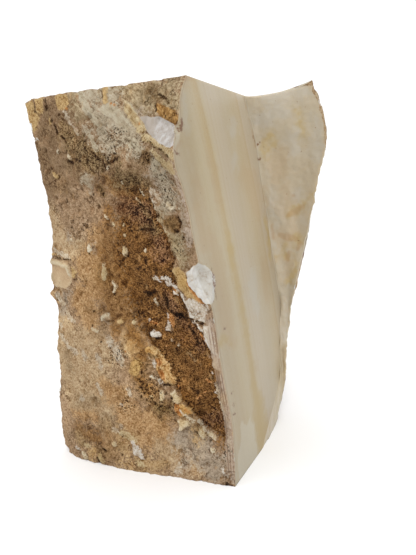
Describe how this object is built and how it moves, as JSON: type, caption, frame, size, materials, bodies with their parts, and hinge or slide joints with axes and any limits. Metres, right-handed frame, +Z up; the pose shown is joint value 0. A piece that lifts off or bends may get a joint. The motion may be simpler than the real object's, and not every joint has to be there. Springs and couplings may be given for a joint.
{
  "type": "onyx block",
  "caption": "Raw upright block of banded cream onyx marble, with rough brown vein crust, a flat saw-cut side and a shell-like broken corner.",
  "frame": {"origin": "middle of the base's bounding rectangle, on the surface that the block stands on", "axes": "+Z up; the front weathered crust faces -Y; the saw-cut banded side faces +X"},
  "size_m": [0.178, 0.1724, 0.255],
  "materials": {
    "banded_onyx_with_crust": "honed cream banding on the cuts, rough brown weathered crust front and back"
  },
  "bodies": {
    "root": {"onyx_block": "banded_onyx_with_crust"}
  },
  "joints": []
}
